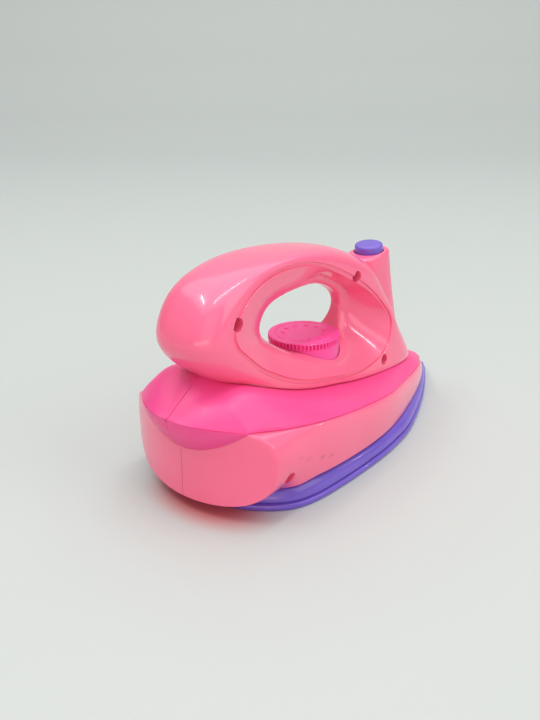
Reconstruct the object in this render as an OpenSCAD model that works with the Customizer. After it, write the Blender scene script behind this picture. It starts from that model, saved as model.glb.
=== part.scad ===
// Toy iron for pretend play: a pointed sole plate, a two-part body, a two-part deck,
// and a two-part loop handle that carries a knurled dial and a sprung button on a tower.
// X runs forward to the point, Y to the left, Z up. The sole rests on Z = 0.

/* [Sole plate] */
// Length of the sole plate, heel end to point
sole_length = 168.5; // [150:0.5:190]
// Width of the sole plate
sole_width = 76; // [68:1:84]
// Height of the upright rim
rim_height = 2.6; // [2:0.1:3.4]
// Height of the whole sole plate
sole_height = 8; // [7:0.5:9]
// How far the plate draws in above the rim
cove_inset = 2.6; // [1.6:0.1:3.6]
// Width of the groove line above the rim
sole_groove = 0.9; // [0.5:0.1:1.4]
// Distance of the plate's heel end from the flat of the heel
sole_setback = 8.5; // [7.5:0.5:10]

/* [Body] */
// Distance of the body's front end behind the sole's point
tip_setback = 6.5; // [5:0.5:9]
// Height of the heel's lower edge
heel_lift = 5; // [4:0.5:6.5]
// Radius of the heel's upright face, seen from above
heel_radius = 62; // [55:1:80]
// Height of the line between body and deck at the heel
belt_rear = 37.7; // [34:0.5:41]
// Height of the line between body and deck at the front
belt_front = 11; // [10:0.5:14]
// Height of the lowest point of the scalloped heel edge
scallop_height = 25.6; // [22:0.5:29]
// Wall of the moulded shells
wall = 2.4; // [1.8:0.1:3]

/* [Deck] */
// How far the deck's rear crease stands out behind the heel
deck_overhang = 6.7; // [5:0.1:8.5]
// Half width of the deck where its crease meets the side
crease_half_width = 27.4; // [25:0.2:29]
// Depth of the deck's tongue behind the heel face
tongue_depth = 10; // [9:0.5:12]

/* [Handle] */
// Distance from the heel to the front foot of the handle
handle_span = 150; // [140:1:156]
// Height of the top of the grip
grip_height = 90; // [84:1:98]
// Half width of the handle at its base
handle_half_width = 18; // [16:0.5:19]
// Depth of the line moulded round the finger opening
groove_depth = 0.9; // [0.5:0.1:1.2]

/* [Tower] */
// Height of the tower's top at the button's axis
tower_top = 74.8; // [72:0.5:78]
// Lean of the tower's top back to the user
tower_lean = 7; // [4:0.5:10]
// Half width of the tower's top
tower_half_width = 7.9; // [7.7:0.1:9]

/* [Button] */
// Diameter of the button
button_d = 12.5; // [11:0.1:12.7]
// How far the button stands out at rest
button_proud = 3.4; // [3.2:0.1:5]
// How far the button sinks when it is pressed
button_travel = 2.8; // [1.5:0.1:3]
// Diameter of the button's stem
stem_d = 6; // [5:0.1:6.4]
// Wire of the return spring
spring_wire = 0.8; // [0.6:0.1:0.9]

/* [Dial] */
// Diameter of the dial over its knurl
dial_d = 30; // [27:0.5:31]
// How far the dial's top face stands above the saddle
dial_proud = 4.06; // [3:0.1:5.5]
// Height of the knurled rim
knurl_height = 2.4; // [1.8:0.1:3]
// Number of notches round the rim
knurl_count = 60; // [40:2:72]
// Diameter of the dial's shaft
shaft_d = 8; // [7:0.2:9]

/* [Fasteners] */
// Diameter of a screw head
head_d = 4.5; // [4:0.1:4.7]
// Height of a screw head
head_h = 1.8; // [1.4:0.1:2.2]
// Diameter of a screw shank
shank_d = 2.6; // [2.2:0.1:2.8]
// Diameter of the holes that the screws are driven through
hole_d = 5; // [4.8:0.1:5.4]
// Diameter of a moulded screw post
post_d = 8; // [7:0.2:8.6]

/* [Hidden] */

// Fits
running_fit = 0.05;
thread_fit = 0.05;
loose_fit = 0.3;
overrun = 1;

// Overall frame: the heel's flat stands behind the middle of the whole length
whole_length = deck_overhang + sole_setback + sole_length;
heel_x = deck_overhang - whole_length / 2;
body_length = sole_setback + sole_length - tip_setback;
half_width = sole_width / 2;

light_pink = [1, 0.5, 0.6];
hot_pink = [1, 0.34, 0.62];
purple = [0.49, 0.42, 0.83];
steel = [0.72, 0.72, 0.75];

// A smooth curve through a table of [place, value] rows
function row_at(x, t, i = 0) = i >= len(t) - 2 || x < t[i + 1][0] ? i : row_at(x, t, i + 1);
function slope_at(t, i) = let (a = max(i - 1, 0), b = min(i + 1, len(t) - 1))
    (t[b][1] - t[a][1]) / (t[b][0] - t[a][0]);
function curve(x, t) = let (
        i = row_at(x, t),
        span = t[i + 1][0] - t[i][0],
        u = min(max((x - t[i][0]) / span, 0), 1),
        up = u * u * (3 - 2 * u))
    t[i][1] * (1 - up) + t[i + 1][1] * up
    + span * (slope_at(t, i) * u * (1 - u) * (1 - u) - slope_at(t, i + 1) * u * u * (1 - u));

// A smooth closed loop through a list of rows, in equal steps between them
function bend(a, b, c, d, u) =
    0.5 * (2 * b + (c - a) * u + (2 * a - 5 * b + 4 * c - d) * u * u + (3 * b - a - 3 * c + d) * u * u * u);
function loop(p, steps) = let (n = len(p))
    [for (i = [0:n - 1], k = [0:steps - 1])
        bend(p[(i + n - 1) % n], p[i], p[(i + 1) % n], p[(i + 2) % n], k / steps)];

// A solid through a row of outlines that all have the same number of points
module loft(rings, closed = false) {
    n = len(rings);
    m = len(rings[0]);
    last = closed ? n - 1 : n - 2;
    sides = [for (i = [0:last], j = [0:m - 1])
        let (a = i * m + j,
            b = i * m + (j + 1) % m,
            c = (i + 1) % n * m + (j + 1) % m,
            d = (i + 1) % n * m + j)
        each [[a, c, b], [a, d, c]]];
    caps = closed ? [] : [[for (j = [0:m - 1]) j], [for (j = [m - 1:-1:0]) (n - 1) * m + j]];
    polyhedron([for (r = rings, p = r) p], concat(sides, caps), convexity = 8);
}

// Each node is drawn from the heel forward, then set about the middle of its length
module from_heel() translate([heel_x, 0, 0]) children();

// A pin or hole along Y, from one side to the other
module across(x, z, d, from, to) translate([x, from, z]) rotate([-90, 0, 0])
    cylinder(d = d, h = to - from, $fn = 48);
module upright(x, y, d, from, to) translate([x, y, from]) cylinder(d = d, h = to - from, $fn = 48);

// A pan-head screw that points up from the seat of its head
head_shares = [0.3, 0.55];
module screw(length) rotate_extrude($fn = 48)
    polygon([[0, -head_h], [head_d * head_shares[0], -head_h], [head_d / 2, -head_h * head_shares[1]],
        [head_d / 2, 0], [shank_d / 2, 0], [shank_d / 2, length - shank_d / 2], [0, length]]);

// Half widths of the sole along its length
sole_shares = [[0, 0], [0.01, 0.33], [0.03, 0.55], [0.08, 0.8], [0.18, 0.955], [0.3, 1], [0.47, 0.94],
    [0.6, 0.81], [0.735, 0.6], [0.855, 0.375], [0.96, 0.14], [1, 0]];
function sole_half(x) = half_width * curve((x - sole_setback) / sole_length, sole_shares);
sole_rows = [for (r = sole_shares) [sole_setback + r[0] * sole_length, r[1] * half_width]];
sole_side_rows = [for (i = [len(sole_rows) - 2:-1:1]) [sole_rows[i][0], -sole_rows[i][1]]];
sole_outline = loop(concat(sole_rows, sole_side_rows), 3);
function outward(p, i) = let (n = len(p), t = p[(i + 1) % n] - p[(i + n - 1) % n]) [-t[1], t[0]] / norm(t);
function grown(p, by) = [for (i = [0:len(p) - 1]) p[i] + by * outward(p, i)];
function flat_ring(p, z) = [for (i = [len(p) - 1:-1:0]) [p[i][0], p[i][1], z]];

// The line between body and deck
function belt(x) = belt_rear + (belt_front - belt_rear) * x / body_length;
belt_shares = [[0.037, 0.72], [0.065, 0.76], [0.115, 0.84], [0.165, 0.89], [0.235, 0.925], [0.325, 0.93],
    [0.425, 0.9], [0.55, 0.82], [0.7, 0.62], [0.825, 0.435], [0.905, 0.285], [0.965, 0.13], [1, 0.035]];
function belt_half(x) = half_width * curve(x / body_length, belt_shares);

// The body bulges between its lower edge and the belt
bulge_shares = [[0, 0.95], [0.08, 0.955], [0.2, 0.965], [0.3, 0.97], [0.43, 0.95], [0.56, 0.865],
    [0.7, 0.685], [0.83, 0.475], [0.92, 0.285], [1, 0.06]];
bulge_height_shares = [[0, 0.64], [0.12, 0.65], [0.28, 0.58], [0.45, 0.52], [0.56, 0.45],
    [0.7, 0.4], [1, 0.4]];
body_place_shares = [-0.012, 0.04, 0.08, 0.12, 0.17, 0.24, 0.33, 0.43, 0.53, 0.62, 0.7, 0.77, 0.83, 0.885,
    0.93, 0.965, 0.985, 1];
lower_arc_shares = [0, 0.2, 0.45, 0.7, 0.88];
upper_arc_shares = [0, 0.25, 0.5, 0.75, 1];
body_core_shares = [0.05, 0.9];
deck_core_end_share = 0.94;
foot_power = 0.75;
heel_foot_share = 0.63;
heel_foot_end_share = 0.12;

function foot_half(x) = let (heel = half_width * heel_foot_share)
    x < body_length * heel_foot_end_share ? heel
    : max(min(sole_half(x) - cove_inset, half_width * curve(x / body_length, bulge_shares)), wall / 2);
function body_section(x, inset, floor, lid) = let (
        waist = max(half_width * curve(x / body_length, bulge_shares) - inset, wall / 4),
        foot = max(min(foot_half(x) - inset, waist), wall / 4),
        edge = max(belt_half(x) - inset, wall / 4),
        top = belt(x),
        shoulder = top - lid,
        mid = floor + (shoulder - floor) * curve(x / body_length, bulge_height_shares))
    concat(
        [[x, lid > 0 ? -overrun : 0, floor]],
        [for (a = lower_arc_shares)
            [x, foot + (waist - foot) * sin(90 * a),
                floor + (mid - floor) * pow(1 - cos(90 * a), foot_power)]],
        [for (a = upper_arc_shares)
            [x, edge + (waist - edge) * cos(90 * a), mid + (shoulder - mid) * sin(90 * a)]],
        [[x, lid > 0 ? -overrun : 0, shoulder]]);

// Rear crease of the deck, and the scallop below it
crease_bow = crease_half_width * crease_half_width / (deck_overhang + heel_at(crease_half_width));
function heel_at(y) = heel_radius - sqrt(heel_radius * heel_radius - y * y);
function crease_at(y) = y * y / crease_bow - deck_overhang;
scallop_bow = crease_half_width * crease_half_width / (belt(heel_at(crease_half_width)) - scallop_height);
function scallop(y) = scallop_height + y * y / scallop_bow;
tongue_shares = [0, 0.12, 0.3, 0.48, 0.65, 0.82, 0.95];
tongue_half_width = tongue_shares[len(tongue_shares) - 1] * crease_half_width;

// Heights of the deck and of the handle up to its saddle go with the belt's rear; the grip has its own height
rise_share = 2.38727;
saddle_share = 0.506;
rise = belt_rear * rise_share;
saddle_height = rise * saddle_share;
function handle_z(s) = s < saddle_share ? rise * s
    : saddle_height + (grip_height - saddle_height) * (s - saddle_share) / (1 - saddle_share);

// Profile of the deck's top along the middle, with the seat of the handle
deck_shares = [[-0.045, 0.419], [-0.02, 0.457], [0.027, 0.507], [0.075, 0.553], [0.11, 0.55], [0.145, 0.522],
    [0.197, 0.481], [0.293, 0.42], [0.38, 0.378], [0.467, 0.347], [0.567, 0.308], [0.66, 0.28],
    [0.773, 0.253], [0.873, 0.239], [0.96, 0.23], [1.0, 0.215], [1.06, 0.178], [1.12, 0.135]];
function deck_top(x) = rise * curve(x / handle_span, deck_shares);
seat_half_shares = [[-0.045, 0], [0.04, 0.33], [0.08, 0.5], [0.113, 0.72], [0.147, 0.98], [0.2, 1.09],
    [0.3, 1.11], [0.467, 1.09], [0.567, 1.03], [0.66, 0.94], [0.76, 0.78], [0.867, 0.56], [0.96, 0.26],
    [1.0, 0.14], [1.1, 0.06]];
function seat_half(x) = handle_half_width * curve(x / handle_span, seat_half_shares);
deck_place_shares = [0.041, 0.065, 0.09, 0.115, 0.145, 0.18, 0.225, 0.28, 0.34, 0.41, 0.48, 0.55, 0.62,
    0.69, 0.75, 0.81, 0.86, 0.9, 0.935, 0.965, 0.985, 1];
deck_places = concat(
    [for (s = tongue_shares) if (s > 0) crease_at(s * crease_half_width)],
    [for (s = deck_place_shares) s * body_length]);
function deck_edge(x) = x < heel_at(crease_half_width)
    ? sqrt((x + deck_overhang) * crease_bow) : belt_half(x);
crown_shares = [0, 0.2, 0.4, 0.6, 0.8, 1];
crown_power = 2.2;
function deck_section(x, inset, drop) = let (
        edge = max(deck_edge(x) - inset, wall / 4),
        flat = min(max(seat_half(x) - inset / 2, 0.1 * edge), 0.8 * edge),
        top = max(deck_top(x) - inset, belt(x) + wall / 8),
        low = belt(x))
    concat(
        [[x, drop > 0 ? -overrun : 0, low - drop], [x, edge, low - drop]],
        drop > 0 ? [[x, edge, low]] : [],
        [for (t = [1 - crown_shares[1], 1 - crown_shares[2], 1 - crown_shares[3], 1 - crown_shares[4], 0])
            [x, flat + (edge - flat) * t, low + (top - low) * (1 - pow(t, crown_power))]],
        [[x, drop > 0 ? -overrun : 0, top]]);

// Handle: rows of opening x and z, outside x and z, place of the groove, half widths at groove and edge
handle_shares = [
    [0.247, 0.700, 0.010, 0.761, 0.61, 0.88, 0.30],
    [0.263, 0.744, 0.053, 0.900, 0.70, 0.85, 0.28],
    [0.293, 0.778, 0.133, 0.967, 0.71, 0.80, 0.28],
    [0.360, 0.798, 0.253, 0.993, 0.74, 0.75, 0.28],
    [0.440, 0.794, 0.400, 0.987, 0.70, 0.72, 0.28],
    [0.513, 0.776, 0.533, 0.951, 0.52, 0.72, 0.25],
    [0.573, 0.744, 0.653, 0.878, 0.42, 0.72, 0.21],
    [0.613, 0.689, 0.747, 0.778, 0.42, 0.72, 0.19],
    [0.627, 0.633, 0.813, 0.622, 0.57, 0.73, 0.19],
    [0.617, 0.567, 0.873, 0.467, 0.66, 0.74, 0.22],
    [0.587, 0.513, 1.000, 0.156, 0.44, 0.80, 0.46],
    [0.547, 0.498, 0.787, 0.044, 0.30, 0.94, 0.78],
    [0.480, 0.505, 0.507, 0.022, 0.27, 1.00, 0.90],
    [0.413, 0.519, 0.280, 0.089, 0.26, 1.00, 0.78],
    [0.347, 0.567, 0.147, 0.267, 0.30, 0.98, 0.56],
    [0.293, 0.622, 0.140, 0.450, 0.50, 0.94, 0.38],
    [0.260, 0.661, 0.027, 0.644, 0.52, 0.91, 0.32]];
handle_steps = 3;
handle_rows = loop(handle_shares, handle_steps);
edge_round_shares = [[0, 0.55], [0.03, 0.85], [0.09, 1]];
dish_shares = [0.3, 0.55, 0.78];
dish_power = 1.25;
shoulder_shares = [0.25, 0.5, 0.7, 0.86, 0.96];
shoulder_power = 2.5;
groove_span_share = 0.028;
function across_at(r, u, y) = [
    handle_span * (r[0] + (r[2] - r[0]) * u),
    y,
    handle_z(r[1] + (r[3] - r[1]) * u)];
function handle_section(r) = let (
        groove = handle_half_width * r[5],
        edge = handle_half_width * r[6],
        dish = r[4] - groove_span_share - edge_round_shares[2][0])
    concat(
        [across_at(r, 0, 0)],
        [for (e = edge_round_shares) across_at(r, e[0], edge * e[1])],
        [for (d = dish_shares)
            across_at(r, edge_round_shares[2][0] + d * dish, edge + (groove - edge) * pow(d, dish_power))],
        [across_at(r, r[4] - groove_span_share, groove),
            across_at(r, r[4], groove - groove_depth),
            across_at(r, r[4] + groove_span_share, groove)],
        [for (s = shoulder_shares)
            across_at(r, r[4] + groove_span_share + s * (1 - r[4] - groove_span_share),
                groove * pow(1 - pow(s, shoulder_power), 1 / shoulder_power))],
        [across_at(r, 1, 0)]);

// Tower: rows of [height, middle forward of the button's axis, half length, half width]
tower_shares = [[0.2, 0.105, 0.235, 1.5], [0.5, 0.045, 0.19, 1.26], [0.67, 0.022, 0.17, 1.12],
    [0.8, 0.004, 0.156, 1.06], [0.92, -0.011, 0.147, 1.02], [0.985, -0.018, 0.142, 0.99],
    [1, -0.018, 0.128, 0.86]];
tower_place_share = 0.79667;
tower_x = tower_place_share * handle_span;
tower_reach = tower_top;
tower_corner_power = 3;
tower_steps = 10;
function tower_section(r) = [for (k = [0:tower_steps]) let (
        a = 180 * k / tower_steps,
        grow = pow(pow(abs(cos(a)), tower_corner_power) + pow(abs(sin(a)), tower_corner_power),
            -1 / tower_corner_power),
        x = tower_x + tower_reach * (r[1] + r[2] * cos(a) * grow))
    [x, tower_half_width * r[3] * sin(a) * grow,
        tower_top * r[0] + (x - tower_x) * tan(tower_lean) * pow(r[0], 4)]];

// Button mechanism, measured down from the tower's top along the leaning axis
button_sunk = 4;
recess_depth = 11;
web_depth = 17;
flange_h = 1.8;
flange_d = 8.4;
flange_rest = 0.2;
chamber_depth = web_depth + flange_rest + flange_h + button_travel + 2 * loose_fit;
spring_turns = 4;
spring_d = 9;
spring_end_gap = 0.1;

module along_button() translate([tower_x, 0, tower_top]) rotate([0, -tower_lean, 0]) children();
module down(d, from, to) translate([0, 0, -to]) cylinder(d = d, h = to - from, $fn = 64);

// Dial seat in the handle
dial_place_share = 0.48333;
dial_x = dial_place_share * handle_span;
dial_top = saddle_height + dial_proud;
well_depth = 5.54;
well_floor = saddle_height - well_depth;
well_web = 4;
washer_d = 13;
washer_h = 1;
washer_gap = 0.2;
dial_pocket_d = 17;

// Fastener places
handle_screw_shares = [[0.103, 0.795], [0.61, 0.796], [0.75, 0.32]];
screw_seat = 4;
handle_screw_length = 12;
body_screw_x = 20;
body_screw_z = 16.3;
saddle_place_shares = [0.24, 0.5];
deck_post_shares = [0.19, 0.62];
front_stack_shares = [0.61, 0.44];
deck_screw_length = 17;
screw_bite = 6;
sole_screw_shares = [[0.26, 0.5], [0.69, 0.28]];
sole_screw_length = 10;
sole_head_seat = 4;
saddle_seat_drop = 5;

handle_screws_at = [for (s = handle_screw_shares) [s[0] * handle_span, handle_z(s[1])]];
saddle_at = [saddle_place_shares[0] * handle_span, saddle_place_shares[1] * handle_half_width];
saddle_seat = deck_top(saddle_at[0]) - saddle_seat_drop;
deck_post_at = [deck_post_shares[0] * body_length, deck_post_shares[1] * half_width];
stack_at = [front_stack_shares[0] * body_length, front_stack_shares[1] * handle_half_width];
deck_screws_at = [
    [deck_post_at, belt(deck_post_at[0]) + screw_bite - deck_screw_length],
    [stack_at, deck_top(stack_at[0]) + screw_bite - deck_screw_length]];
sole_screws_at = [for (s = sole_screw_shares) [s[0] * body_length, s[1] * half_width]];

module both_sides() {
    children();
    mirror([0, 1, 0]) children();
}

// Rows of [height above the rim, inset] for the groove line and the cove over it
groove_shares = [[-0.4, 1], [0.8, 1], [1, 0.45]];
cove_shares = [[0.3, 0.3], [0.6, 0.52], [0.82, 0.78], [1, 1]];
cove_height = sole_height - rim_height - sole_groove;
sole_rings = concat(
    [for (g = groove_shares)
        flat_ring(grown(sole_outline, -sole_groove * g[1]), rim_height + sole_groove * g[0])],
    [for (c = cove_shares)
        flat_ring(grown(sole_outline, -cove_inset * c[1]), rim_height + sole_groove + cove_height * c[0])]);

module sole_shape() {
    linear_extrude(rim_height) polygon(sole_outline);
    loft(sole_rings);
}

module sole_plate() color(purple) from_heel() difference() {
    sole_shape();
    both_sides() for (p = sole_screws_at) {
        upright(p[0], p[1], head_d + 2 * loose_fit, -overrun, sole_head_seat);
        upright(p[0], p[1], shank_d + 2 * loose_fit, 0, sole_height + overrun);
    }
}

module sole_screws() color(steel) from_heel() both_sides() for (p = sole_screws_at)
    translate([p[0], p[1], sole_head_seat]) screw(sole_screw_length);

// The left half of the body as a solid
module body_solid() difference() {
    loft([for (s = body_place_shares) body_section(s * body_length, 0, heel_lift, 0)]);
    translate([0, 0, -overrun]) linear_extrude(sole_height + overrun) polygon(grown(sole_outline, loose_fit));
    translate([-tongue_depth, -half_width, 0]) difference() {
        cube([2.5 * tongue_depth, sole_width, grip_height]);
        translate([tongue_depth + heel_radius, half_width, -overrun])
            cylinder(r = heel_radius, h = grip_height + 2 * overrun, $fn = 180);
    }
    tongue_space();
}

// The room inside it, round the screw posts
module body_core() difference() {
    loft([for (s = body_place_shares) if (s > body_core_shares[0] && s < body_core_shares[1])
        body_section(s * body_length - wall / 2, wall, sole_height + wall, wall)]);
    for (p = deck_screws_at) upright(p[0][0], p[0][1], post_d, 0, grip_height);
    for (p = sole_screws_at) upright(p[0], p[1], post_d, 0, sole_head_seat + sole_screw_length + overrun);
    across(body_screw_x, body_screw_z, post_d, -overrun, half_width);
}

module body_half() difference() {
    difference() {
        body_solid();
        body_core();
    }
    for (p = deck_screws_at) {
        upright(p[0][0], p[0][1], hole_d, 0, p[1]);
        upright(p[0][0], p[0][1], shank_d + 2 * loose_fit, 0, grip_height);
    }
    for (p = sole_screws_at)
        upright(p[0], p[1], shank_d + 2 * thread_fit, 0, sole_head_seat + sole_screw_length + thread_fit);
}

// What the deck's tongue fills of the heel, between the scallop and the belt
module tongue_space() rotate([90, 0, 90]) translate([0, 0, -tongue_depth]) linear_extrude(2 * tongue_depth)
    polygon(concat([for (s = tongue_shares) [s * crease_half_width, scallop(s * crease_half_width)]],
        [[tongue_half_width, grip_height], [0, grip_height]]));

module body_right() color(light_pink) from_heel() difference() {
    mirror([0, 1, 0]) body_half();
    across(body_screw_x, body_screw_z, hole_d, -half_width, -screw_seat);
    across(body_screw_x, body_screw_z, shank_d + 2 * loose_fit, -half_width, overrun);
}

module body_left() color(light_pink) from_heel() difference() {
    body_half();
    across(body_screw_x, body_screw_z, shank_d + 2 * thread_fit, -overrun,
        handle_screw_length - screw_seat + thread_fit);
}

module body_screw() color(steel) from_heel()
    translate([body_screw_x, -screw_seat, body_screw_z]) rotate([-90, 0, 0]) screw(handle_screw_length);

// The left half of the deck, before its screw holes
module deck_core() difference() {
    loft([for (x = deck_places) if (x > tongue_depth + wall && x < deck_core_end_share * body_length)
        deck_section(x, wall, overrun)]);
    for (p = deck_screws_at) upright(p[0][0], p[0][1], post_d, 0, grip_height);
    upright(saddle_at[0], saddle_at[1], post_d, saddle_seat - overrun, grip_height);
}

module deck_half() difference() {
    difference() {
        union() {
            loft([for (x = deck_places) deck_section(x, 0, 0)]);
            deck_tongue();
        }
        deck_core();
    }
    upright(deck_post_at[0], deck_post_at[1], shank_d + 2 * thread_fit, 0,
        belt(deck_post_at[0]) + screw_bite + thread_fit);
    upright(stack_at[0], stack_at[1], shank_d + 2 * loose_fit, 0, grip_height);
    upright(saddle_at[0], saddle_at[1], hole_d, 0, saddle_seat);
    upright(saddle_at[0], saddle_at[1], shank_d + 2 * loose_fit, 0, grip_height);
}

// The deck's tongue hangs behind the heel and slopes in under the crease
module deck_tongue() loft([for (s = tongue_shares)
    let (y = s * crease_half_width, x = crease_at(y), z = scallop(y))
    [[x, y, belt(x)], [(x + tongue_depth) / 2, y, belt((x + tongue_depth) / 2) + overrun],
        [tongue_depth, y, belt(tongue_depth) + overrun], [tongue_depth, y, z], [heel_at(y), y, z]]]);

module deck_right() color(hot_pink) from_heel() mirror([0, 1, 0]) deck_half();
module deck_left() color(hot_pink) from_heel() deck_half();

module deck_screws() color(steel) from_heel() both_sides() for (p = deck_screws_at)
    translate([p[0][0], p[0][1], p[1]]) screw(deck_screw_length);

// Everything below the handle's seat on the deck
module seat_block() rotate([90, 0, 0]) translate([0, 0, -2 * half_width]) linear_extrude(4 * half_width)
    polygon(concat([for (x = deck_places) if (x > 0) [x, deck_top(x)]],
        [[body_length, -grip_height], [-grip_height, -grip_height],
            [-grip_height, deck_top(deck_places[0])]]));

// The left half of the handle with its tower, before its screw holes
module handle_half() difference() {
    union() {
        loft([for (r = handle_rows) handle_section(r)], closed = true);
        loft([for (r = tower_shares) tower_section(r)]);
    }
    seat_block();
    upright(dial_x, 0, dial_d + 2 * loose_fit, well_floor, dial_top);
    upright(dial_x, 0, shaft_d + 2 * running_fit, 0, dial_top);
    upright(dial_x, 0, dial_pocket_d, 0, well_floor - well_web);
    along_button() {
        down(button_d + 2 * loose_fit, -tower_top, recess_depth);
        down(stem_d + 2 * running_fit, 0, chamber_depth);
        down(flange_d + 2 * loose_fit, web_depth, chamber_depth);
    }
    upright(saddle_at[0], saddle_at[1], shank_d + 2 * thread_fit, 0,
        saddle_seat + deck_screw_length - screw_bite + thread_fit);
    upright(stack_at[0], stack_at[1], shank_d + 2 * thread_fit, 0,
        deck_top(stack_at[0]) + screw_bite + thread_fit);
}

module handle_right() color(light_pink) from_heel() difference() {
    mirror([0, 1, 0]) handle_half();
    for (p = handle_screws_at) {
        across(p[0], p[1], hole_d, -half_width, -screw_seat);
        across(p[0], p[1], shank_d + 2 * loose_fit, -half_width, overrun);
    }
}

module handle_left() color(light_pink) from_heel() difference() {
    handle_half();
    for (p = handle_screws_at)
        across(p[0], p[1], shank_d + 2 * thread_fit, -overrun, handle_screw_length - screw_seat + thread_fit);
}

module handle_screws() color(steel) from_heel() for (p = handle_screws_at)
    translate([p[0], -screw_seat, p[1]]) rotate([-90, 0, 0]) screw(handle_screw_length);

module saddle_screws() color(steel) from_heel() both_sides()
    translate([saddle_at[0], saddle_at[1], saddle_seat]) screw(deck_screw_length - screw_bite);

// The dial's shaft passes the web below its well and is held by a washer and a screw
knurl_notch_w = 0.8;
knurl_notch_depth = 0.7;
dial_ring_share = 0.8;
dial_ring_w = 0.6;
dial_ring_depth = 0.4;
dot_count = 9;
dot_turn = 32;
dot_ring_share = 0.58;
dot_d = 1.1;
dot_growth = 0.17;
dot_h = 0.4;
shaft_end = well_floor - well_web - washer_gap;
dial_screw_length = 8;

// The knob, turned about its shaft
module dial_turned() rotate_extrude($fn = 120) polygon([
    [0, shaft_end], [shaft_d / 2, shaft_end], [shaft_d / 2, well_floor + loose_fit],
    [dial_d / 2, well_floor + loose_fit], [dial_d / 2, dial_top - dial_ring_depth],
    [dial_d / 2 - dial_ring_depth, dial_top],
    [dial_ring_share * dial_d / 2 + dial_ring_w, dial_top],
    [dial_ring_share * dial_d / 2, dial_top - dial_ring_depth],
    [dial_ring_share * dial_d / 2 - dial_ring_w, dial_top], [0, dial_top]]);

// A row of plain raised dots, growing round the dial, stands on the knob
module dial() color(hot_pink) from_heel() translate([dial_x, 0, 0]) difference() {
    union() {
        dial_turned();
        for (k = [0:dot_count - 1]) rotate(dot_turn * (k - (dot_count - 1) / 2))
            translate([dot_ring_share * dial_d / 2, 0, dial_top - dial_ring_depth])
                cylinder(d = dot_d + k * dot_growth, h = dial_ring_depth + dot_h, $fn = 32);
    }
    for (k = [0:knurl_count - 1]) rotate(360 * k / knurl_count)
        translate([dial_d / 2 - knurl_notch_depth, -knurl_notch_w / 2, dial_top - knurl_height])
            cube([2 * knurl_notch_depth, knurl_notch_w, knurl_height - 2 * dial_ring_depth]);
    upright(0, 0, shank_d + 2 * thread_fit, 0, shaft_end - washer_h + dial_screw_length + thread_fit);
}

module dial_washer() color(steel) from_heel() translate([dial_x, 0, shaft_end - washer_h]) difference() {
    cylinder(d = washer_d, h = washer_h, $fn = 64);
    translate([0, 0, -overrun]) cylinder(d = shank_d + 2 * thread_fit, h = washer_h + 2 * overrun, $fn = 48);
}

module dial_screw() color(steel) from_heel() translate([dial_x, 0, shaft_end - washer_h])
    screw(dial_screw_length);

button_edge_shares = [0.72, 0.46, 0.93, 0.38];
module spray_button() color(purple) from_heel() along_button() rotate_extrude($fn = 96) polygon([
    [0, -web_depth - flange_rest - flange_h], [flange_d / 2, -web_depth - flange_rest - flange_h],
    [flange_d / 2, -web_depth - flange_rest], [stem_d / 2, -web_depth - flange_rest],
    [stem_d / 2, -button_sunk], [button_d / 2, -button_sunk], [button_d / 2, button_proud * button_edge_shares[0]],
    [button_d * button_edge_shares[1], button_proud * button_edge_shares[2]],
    [button_d * button_edge_shares[3], button_proud], [0, button_proud]]);

// The return spring, one unbroken coil round the stem
spring_rings = 8;
spring_sides = 6;
spring_rise = recess_depth - button_sunk - spring_wire - 2 * spring_end_gap;
function spring_point(k, a) = let (
        turn = 360 * k / spring_rings,
        reach = spring_d / 2 + spring_wire / 2 * cos(a))
    [reach * cos(turn), reach * sin(turn),
        -recess_depth + spring_end_gap + spring_wire / 2 + spring_rise * k / (spring_turns * spring_rings)
        + spring_wire / 2 * sin(a)];
echo(spring_gap = spring_rise / spring_turns - spring_wire);

module button_spring() color(steel) from_heel() along_button()
    loft([for (k = [0:spring_turns * spring_rings])
        [for (j = [0:spring_sides - 1]) spring_point(k, 360 * j / spring_sides)]]);

sole_plate();
sole_screws();
body_right();
body_left();
body_screw();
deck_right();
deck_left();
deck_screws();
handle_right();
handle_left();
handle_screws();
saddle_screws();
dial();
dial_washer();
dial_screw();
spray_button();
button_spring();
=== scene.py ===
import math
import bpy
import bmesh
import numpy as np
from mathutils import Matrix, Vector


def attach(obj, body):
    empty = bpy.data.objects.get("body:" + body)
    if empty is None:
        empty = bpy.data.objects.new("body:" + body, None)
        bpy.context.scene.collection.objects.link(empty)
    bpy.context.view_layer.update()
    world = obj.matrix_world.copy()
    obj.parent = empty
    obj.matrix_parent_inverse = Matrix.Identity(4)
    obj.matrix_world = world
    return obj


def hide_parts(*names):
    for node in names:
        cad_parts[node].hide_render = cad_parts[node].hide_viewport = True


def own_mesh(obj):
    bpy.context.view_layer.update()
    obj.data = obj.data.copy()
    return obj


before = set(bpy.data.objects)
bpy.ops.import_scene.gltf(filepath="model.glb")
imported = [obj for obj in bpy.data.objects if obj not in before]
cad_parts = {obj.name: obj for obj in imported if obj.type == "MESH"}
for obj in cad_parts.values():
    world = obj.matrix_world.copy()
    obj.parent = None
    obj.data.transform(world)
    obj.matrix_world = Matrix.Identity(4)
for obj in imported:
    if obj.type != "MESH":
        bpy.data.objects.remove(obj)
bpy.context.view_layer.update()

# Sole plate
# One glossy purple moulding under the toy, held by four screws from below.
# A rounded bead runs round its edge, with a groove line and a hollow cove above it.
MM = 0.001
HEEL_PLACE = -85.15  # the flat of the heel in the frame: lengths are in mm, measured forward from it
HALF_WIDTH = 37.97
SOLE_START = 8.5
SOLE_LENGTH = 168.5
SOLE_HEIGHT = 8.0
SOLE_SHARP = 50
COVE_FOOT = 3.5
COVE_REAR = 12.1
COVE_FALL = 0.037
COVE_HEEL = 8.6
COVE_HEEL_RISE = 0.08
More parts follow.
